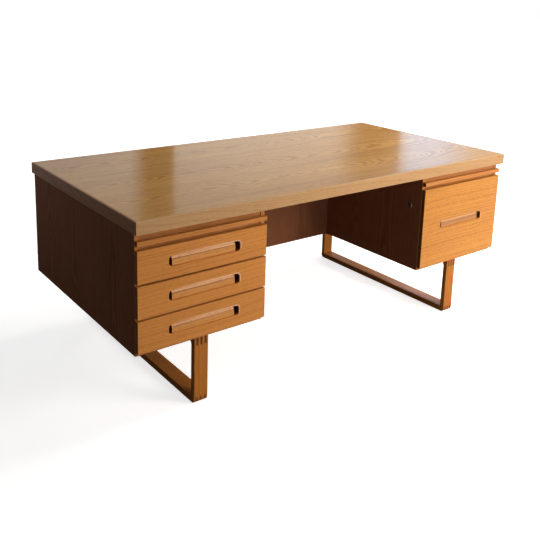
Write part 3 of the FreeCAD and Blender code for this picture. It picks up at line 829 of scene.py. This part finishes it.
@dataclass
class LegFrame:
    """One sled frame with its finger joints."""

    side: Side
    foot: WoodFinish

    def dress(self, stack: LogStack) -> None:
        """Dress each stick along its own length.

        Args:
            stack: boards to use.
        """
        for name, finish in (("rail", FRAME_OAK), ("foot", self.foot)):
            stack.dress(f"{self.side.value}_frame_{name}", finish, Lay.DEEP_FLAT)
        for name in ("front_leg", "back_leg"):
            stack.dress(f"{self.side.value}_frame_{name}", FRAME_OAK, Lay.TALL_BACK)


@dataclass
class CamLock:
    """Lock in the kneehole side of the right pedestal."""

    bright_nodes: tuple[str, ...] = ("lock_case", "lock_cam")
    dark_nodes: tuple[str, ...] = ("lock_plug",)

    def dress(self) -> None:
        """Dress the case and cam in worn nickel and the plug in dark nickel."""
        for nodes, finish in ((self.bright_nodes, LOCK_NICKEL), (self.dark_nodes, LOCK_DARK)):
            material = finish.material()
            for node in nodes:
                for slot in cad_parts[node].material_slots:
                    slot.material = material
                LOG.info("dressed %s in %s", node, finish.name)


@dataclass
class WoodScrews:
    """Screws with cross recesses, one for each CAD screw, heads down in the holes under the rails."""

    node: str = "wood_screws"
    body: str = "carcase"
    slot: str = "screw_steel"
    head_diameter: float = 10 * MM
    head_face_diameter: float = 8.8 * MM
    head_height: float = 3 * MM
    shank_diameter: float = 4.8 * MM
    tip_diameter: float = 1.6 * MM
    shank_length: float = 26.5 * MM
    recess_length: float = 5.4 * MM
    recess_width: float = 1.4 * MM
    recess_depth: float = 1.6 * MM
    same_screw_within: float = 20 * MM
    seed: int = 7

    def spots(self) -> list[Vector]:
        """Find the middle of the face of each CAD screw's head.

        Returns:
            The places, in metres.
        """
        screws: list[list[Vector]] = []
        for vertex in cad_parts[self.node].data.vertices:
            near = [points for points in screws
                    if (points[0] - vertex.co).xy.length < self.same_screw_within]
            if near:
                near[0].append(vertex.co)
            else:
                screws.append([vertex.co])
        spans = [[(min(values), max(values)) for values in zip(*points)] for points in screws]
        return [Vector((sum(x) / 2, sum(y) / 2, z[0])) for x, y, z in spans]

    def sizes(self) -> dict[str, float]:
        """Name the sizes that the node tree takes.

        Returns:
            Each size in metres, by the name of its socket.
        """
        return {
            "Head Radius": self.head_diameter / 2, "Face Radius": self.head_face_diameter / 2,
            "Head Height": self.head_height, "Shank Radius": self.shank_diameter / 2,
            "Tip Radius": self.tip_diameter / 2, "Shank Length": self.shank_length,
            "Recess Length": self.recess_length, "Recess Width": self.recess_width,
            "Recess Depth": self.recess_depth,
        }

    def tree(self) -> bpy.types.NodeTree:
        """Build the node tree that sets a screw, at a random turn, on each point.

        Returns:
            The new tree.
        """
        tree = bpy.data.node_groups.new("screws_on_points", "GeometryNodeTree")
        tree.is_modifier = True
        add = partial(add_node, tree)
        sockets = [("Geometry", "Geometry"), *((name, "Float") for name in self.sizes()), ("Seed", "Int"),
                   ("Material", "Material")]
        for name, kind in sockets:
            tree.interface.new_socket(name, in_out="INPUT", socket_type=f"NodeSocket{kind}")
        tree.interface.new_socket("Geometry", in_out="OUTPUT", socket_type="NodeSocketGeometry")
        given = add("NodeGroupInput").outputs
        cones = []
        for low, high, length in (("Face Radius", "Head Radius", "Head Height"),
                                  ("Shank Radius", "Tip Radius", "Shank Length")):
            cones.append(add("GeometryNodeMeshCone", {
                "Radius Bottom": given[low], "Radius Top": given[high], "Depth": given[length]}))
        head, shank = cones
        # The bars that cut the recess stand half out of the head, so they are twice as deep as it
        deep = add(MATH, {0: given["Recess Depth"], 1: given["Recess Depth"]}, operation="ADD")
        for x, y in (("Recess Length", "Recess Width"), ("Recess Width", "Recess Length")):
            reach = add(JOIN, {0: given[x], 1: given[y], 2: deep})
            bar = add("GeometryNodeMeshCube", {"Size": reach})
            head = add("GeometryNodeMeshBoolean", {"Mesh 1": head, "Mesh 2": bar}, operation="DIFFERENCE",
                       solver="EXACT")
        rise = add(JOIN, {2: given["Head Height"]})
        shank = add("GeometryNodeTransform", {"Geometry": shank, "Translation": rise})
        screw = add("GeometryNodeJoinGeometry", {0: head})
        tree.links.new(shank.outputs[0], screw.inputs[0])
        turn = add("FunctionNodeRandomValue", {0: (0, 0, 0), 1: (0, 0, math.tau), "Seed": given["Seed"]},
                   data_type="FLOAT_VECTOR")
        placed = add("GeometryNodeInstanceOnPoints", {"Points": given["Geometry"], "Instance": screw,
                                                      "Rotation": turn})
        real = add("GeometryNodeRealizeInstances", {0: placed})
        dressed = add("GeometryNodeSetMaterial", {"Geometry": real, "Material": given["Material"]})
        add("NodeGroupOutput", {0: dressed})
        return tree

    def build(self) -> None:
        """Set the screws, turn them into a plain mesh and let it stand for the CAD screws."""
        points = bpy.data.meshes.new("screw_points")
        points.from_pydata(self.spots(), [], [])
        screws = bpy.data.objects.new("cross_recess_screws", points)
        bpy.context.scene.collection.objects.link(screws)
        modifier = screws.modifiers.new("screws", "NODES")
        modifier.node_group = self.tree()
        values = {**self.sizes(), "Seed": self.seed, "Material": SCREW_ZINC.material()}
        for socket in modifier.node_group.interface.items_tree:
            if socket.name in values:
                modifier[socket.identifier] = values[socket.name]
        depsgraph = bpy.context.evaluated_depsgraph_get()
        mesh = bpy.data.meshes.new_from_object(screws.evaluated_get(depsgraph), depsgraph=depsgraph)
        screws.modifiers.clear()
        screws.data = mesh
        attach(screws, self.body)
        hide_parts(self.node)
        LOG.info("set %d screws in %s", len(points.vertices), SCREW_ZINC.name)


@dataclass(frozen=True)
class Lamp:
    """A soft oblong lamp, aimed at a point."""

    name: str
    place: Point
    aim: Point
    width: float
    height: float
    power: float
    colour: str
    spread_deg: float = 180.0

    def hang(self) -> None:
        """Add the lamp, out of the camera's sight and of reflections."""
        data = bpy.data.lights.new(self.name, "AREA")
        data.shape = "RECTANGLE"
        data.size = self.width
        data.size_y = self.height
        data.energy = self.power
        data.spread = math.radians(self.spread_deg)
        data.color = linear(self.colour)[:3]
        lamp = bpy.data.objects.new(self.name, data)
        lamp.location = self.place
        lamp.rotation_euler = (Vector(self.aim) - lamp.location).to_track_quat("-Z", "Y").to_euler()
        lamp.visible_camera = False
        lamp.visible_glossy = False
        bpy.context.scene.collection.objects.link(lamp)
        LOG.info("hung %s", self.name)


@dataclass(frozen=True)
class Card:
    """A studio card that shows only in reflections: a rectangle between two corners, seen at a given light.

    It may fade out towards its left edge, right edge and top, over the given widths in metres.
    """

    name: str
    low: Point
    high: Point
    colour: str
    light: float
    left_fade: float = 0.0
    right_fade: float = 0.0
    top_fade: float = 0.0

    def material(self) -> bpy.types.Material:
        """Make the card's light.

        Returns:
            The new material.
        """
        material = bpy.data.materials.new(f"{self.name}_light")
        add = partial(add_node, empty_tree(material))
        surface = add("ShaderNodeEmission", {"Color": linear(self.colour), "Strength": self.light})
        place = add("ShaderNodeTexCoord").outputs["Object"]
        place = add(SPLIT, {0: place}).outputs
        clear = add("ShaderNodeBsdfTransparent")
        left, _, _ = self.low
        right, _, top = self.high
        fades = (("X", left, self.left_fade), ("X", right, -self.right_fade), ("Z", top, -self.top_fade))
        for axis, edge, fade in fades:
            if fade:
                solid = add(RANGE, {"Value": place[axis], "From Min": edge, "From Max": edge + fade},
                            **SMOOTH)
                surface = add("ShaderNodeMixShader", {0: solid, 1: clear, 2: surface})
        add("ShaderNodeOutputMaterial", {"Surface": surface})
        return material

    def stand(self) -> None:
        """Add the card: upright across the desk where it has no depth, else flat."""
        left, front, low = self.low
        right, back, high = self.high
        corners = [(left, front, low), (right, front, low), (right, back, high), (left, back, high)]
        card = add_sheet(self.name, corners, self.material())
        card.visible_camera = False
        card.visible_diffuse = False
        card.visible_shadow = False
        card.visible_transmission = False
        LOG.info("stood %s", self.name)


@dataclass
class Studio:
    """Pale floor, white surround, soft lamps, and cards for the top and sides to mirror."""

    floor_reach: float = 40.0
    floor_colour: str = "#E4E2DF"
    floor_glow: float = 0.74
    floor_bounce: str = "#76716A"
    fade_start: float = 1.2
    fade_end: float = 2.6
    ambient: float = 0.07
    lamps: tuple[Lamp, ...] = (
        Lamp("key_lamp", (1.2, -2.3, 1.25), (0.4, -0.4, 0.45), 1.2, 1.2, 54.0, "#FFF6EA"),
        Lamp("fill_lamp", (-0.1, -2.3, 0.5), (-0.2, 0.0, 0.4), 1.4, 0.4, 7.0, "#F8F8FF"),
        Lamp("top_lamp", (2.2, 0.0, 2.7), (0.6, 0.0, 0.6), 2.2, 2.2, 98.0, WHITE),
        Lamp("window_lamp", (3.0, 3.4, 1.7), (0.3, 0.0, 0.4), 1.6, 1.6, 50.0, "#F4F8FF"),
        Lamp("side_lamp", (2.2, -0.5, 0.5), (0.67, -0.1, 0.03), 0.8, 0.3, 4.6, "#FFF2E6", spread_deg=60.0),
        Lamp("left_lamp", (-1.7, 1.2, 0.9), (-0.94, 0.35, 0.7), 0.6, 0.4, 0.3, "#D4E0FF", spread_deg=60.0),
    )
    cards: tuple[Card, ...] = (
        Card("dim_wall", (-4.0, 3.3, 0.0), (12.0, 3.3, 5.0), "#D6E8EE", 0.5),
        Card("window_haze", (-0.6, 3.2, 0.0), (12.0, 3.2, 2.4), "#DCE6E6", 0.95, left_fade=3.0,
             top_fade=1.0),
        Card("dark_post", (0.76, 3.0, 0.0), (1.21, 3.0, 4.5), BLACK, 0.0, left_fade=0.2),
        Card("dark_corner", (3.05, 3.0, 0.0), (4.15, 3.0, 2.2), BLACK, 0.0, left_fade=0.55, top_fade=0.4),
        Card("bright_window", (3.95, 2.9, 0.0), (5.6, 2.9, 4.5), "#ACDCFF", 1.75, left_fade=0.3,
             right_fade=1.1),
        Card("dim_floor", (-3.0, -0.45, 0.002), (0.9, 3.0, 0.002), BLACK, 0.0),
    )

    def seen(self, tree: bpy.types.NodeTree) -> bpy.types.NodeSocket:
        """Add nodes that give one where the camera looks, straight or by reflection or glass.

        Args:
            tree: tree that gets the nodes.

        Returns:
            The output socket.
        """
        path = add_node(tree, "ShaderNodeLightPath").outputs
        seen = path["Is Camera Ray"]
        for name in ("Is Glossy Ray", "Is Transmission Ray"):
            seen = add_node(tree, MATH, {0: seen, 1: path[name]}, operation="MAXIMUM").outputs[0]
        return seen

    def surround(self) -> None:
        """Make the world white where it is seen and dim where it lights the desk."""
        world = bpy.data.worlds.new("white_surround")
        bpy.context.scene.world = world
        tree = empty_tree(world)
        add = partial(add_node, tree)
        strength = add(RANGE, {"Value": self.seen(tree), "To Min": self.ambient})
        glow = add("ShaderNodeBackground", {"Color": linear(WHITE), "Strength": strength})
        add("ShaderNodeOutputWorld", {"Surface": glow})

    def floor(self) -> None:
        """Lay the floor: white to the eye, with the desk's shadow on it, and plain white farther off."""
        material = bpy.data.materials.new("pale_studio_floor")
        tree = empty_tree(material)
        add = partial(add_node, tree)
        seen = self.seen(tree)
        place = add("ShaderNodeTexCoord").outputs["Object"]
        away = add(VECTOR_MATH, {0: place}, operation="LENGTH").outputs["Value"]
        away = add(RANGE, {"Value": away, "From Min": self.fade_start, "From Max": self.fade_end}, **SMOOTH)
        colour = add(MIX, {0: seen, FIRST: linear(self.floor_bounce), SECOND: linear(self.floor_colour)},
                     **COLOURS).outputs[MIXED]
        paint = add("ShaderNodeBsdfDiffuse", {"Color": colour})
        glow = add(RANGE, {"Value": away, "To Min": self.floor_glow})
        glow = add(MATH, {0: glow, 1: seen}, operation="MULTIPLY")
        light = add("ShaderNodeEmission", {"Strength": glow})
        both = add("ShaderNodeAddShader", {0: paint, 1: light})
        add("ShaderNodeOutputMaterial", {"Surface": both})
        reach = self.floor_reach
        corners = [(-reach, -reach, 0), (reach, -reach, 0), (reach, reach, 0), (-reach, reach, 0)]
        floor = add_sheet("studio_floor", corners, material)

    def build(self) -> None:
        """Set up the surround, the floor, the lamps and the cards."""
        self.surround()
        self.floor()
        for lamp in self.lamps:
            lamp.hang()
        for card in self.cards:
            card.stand()
        bpy.context.scene.view_settings.view_transform = "Standard"


@dataclass
class PhotoCamera:
    """Camera at the photograph's place; its frame is a crop, so the lens axis is off its middle."""

    place: Point = (-1.89628, -2.32831, 1.41566)
    heading_deg: float = 36.52
    pitch_deg: float = -12.16
    roll_deg: float = 1.45
    level_deg: float = 90.0
    focal_px: float = 711.81
    axis_px: tuple[float, float] = (250.46, 145.93)
    frame_px: float = 540.0
    sensor_mm: float = 36.0

    def build(self) -> None:
        """Add the camera and make it the scene's own."""
        data = bpy.data.cameras.new("photo_camera")
        data.sensor_width = self.sensor_mm
        data.lens = self.focal_px * self.sensor_mm / self.frame_px
        data.shift_x = MIDDLE - self.axis_px[0] / self.frame_px
        data.shift_y = self.axis_px[1] / self.frame_px - MIDDLE
        camera = bpy.data.objects.new("photo_camera", data)
        pitch = math.radians(self.level_deg + self.pitch_deg)
        aimed = Euler((pitch, 0, math.radians(-self.heading_deg))).to_matrix()
        rolled = aimed @ Matrix.Rotation(math.radians(self.roll_deg), 3, "Z")
        camera.matrix_world = Matrix.Translation(self.place) @ rolled.to_4x4()
        bpy.context.scene.collection.objects.link(camera)
        bpy.context.scene.camera = camera


def main() -> None:
    """Dress the desk piece by piece, then set up the studio and the camera."""
    logging.basicConfig(level=logging.INFO, format="%(message)s")
    stack = LogStack()
    DeskTop().dress(stack)
    for side, foot in ((Side.LEFT, SCUFFED_OAK), (Side.RIGHT, POLISHED_OAK)):
        Pedestal(side).dress(stack)
        WritingSlide(side).dress(stack)
        LegFrame(side, foot).dress(stack)
    Centre().dress(stack)
    for name in ("left_top_drawer", "left_middle_drawer", "left_bottom_drawer"):
        Drawer(name).dress(stack)
    Drawer("right_drawer", DEEP_FRONT_OAK, DEEP_GRIP_OAK).dress(stack)
    CamLock().dress()
    WoodScrews().build()
    Studio().build()
    PhotoCamera().build()


if __name__ == "__main__":
    main()
